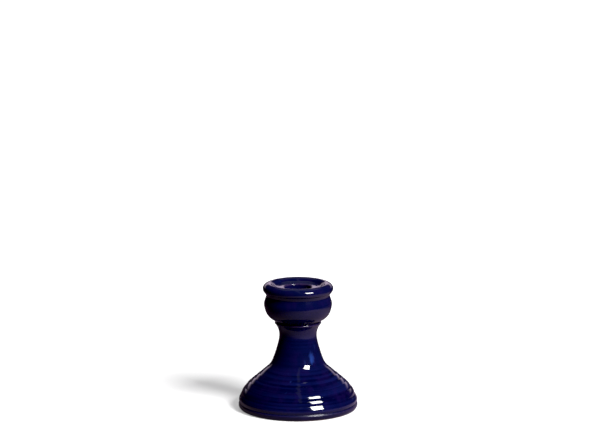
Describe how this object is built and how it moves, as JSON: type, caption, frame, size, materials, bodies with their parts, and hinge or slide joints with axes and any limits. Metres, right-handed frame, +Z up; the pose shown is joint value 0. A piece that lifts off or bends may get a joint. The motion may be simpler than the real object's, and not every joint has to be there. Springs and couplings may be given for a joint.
{
  "type": "candlestick",
  "caption": "Short glazed stoneware candlestick with a ribbed bell foot, a waisted stem and a dished cup with a socket for one taper candle.",
  "frame": {"origin": "centre of the foot's resting ring, on the table", "axes": "+Z up the axis of the candlestick and out of the candle socket; it is round, so +X and +Y are free"},
  "size_m": [0.102, 0.102, 0.1088],
  "materials": {
    "stoneware": "matte, fired, slightly sandy",
    "luting_slip": "matte, fine-grained",
    "cobalt_glaze": "glossy, deep and opaque, paler where it runs thin over edges"
  },
  "bodies": {
    "root": {"foot_and_stem": "stoneware", "slip_joint": "luting_slip", "candle_cup": "stoneware", "cobalt_glaze": "cobalt_glaze"}
  },
  "joints": []
}
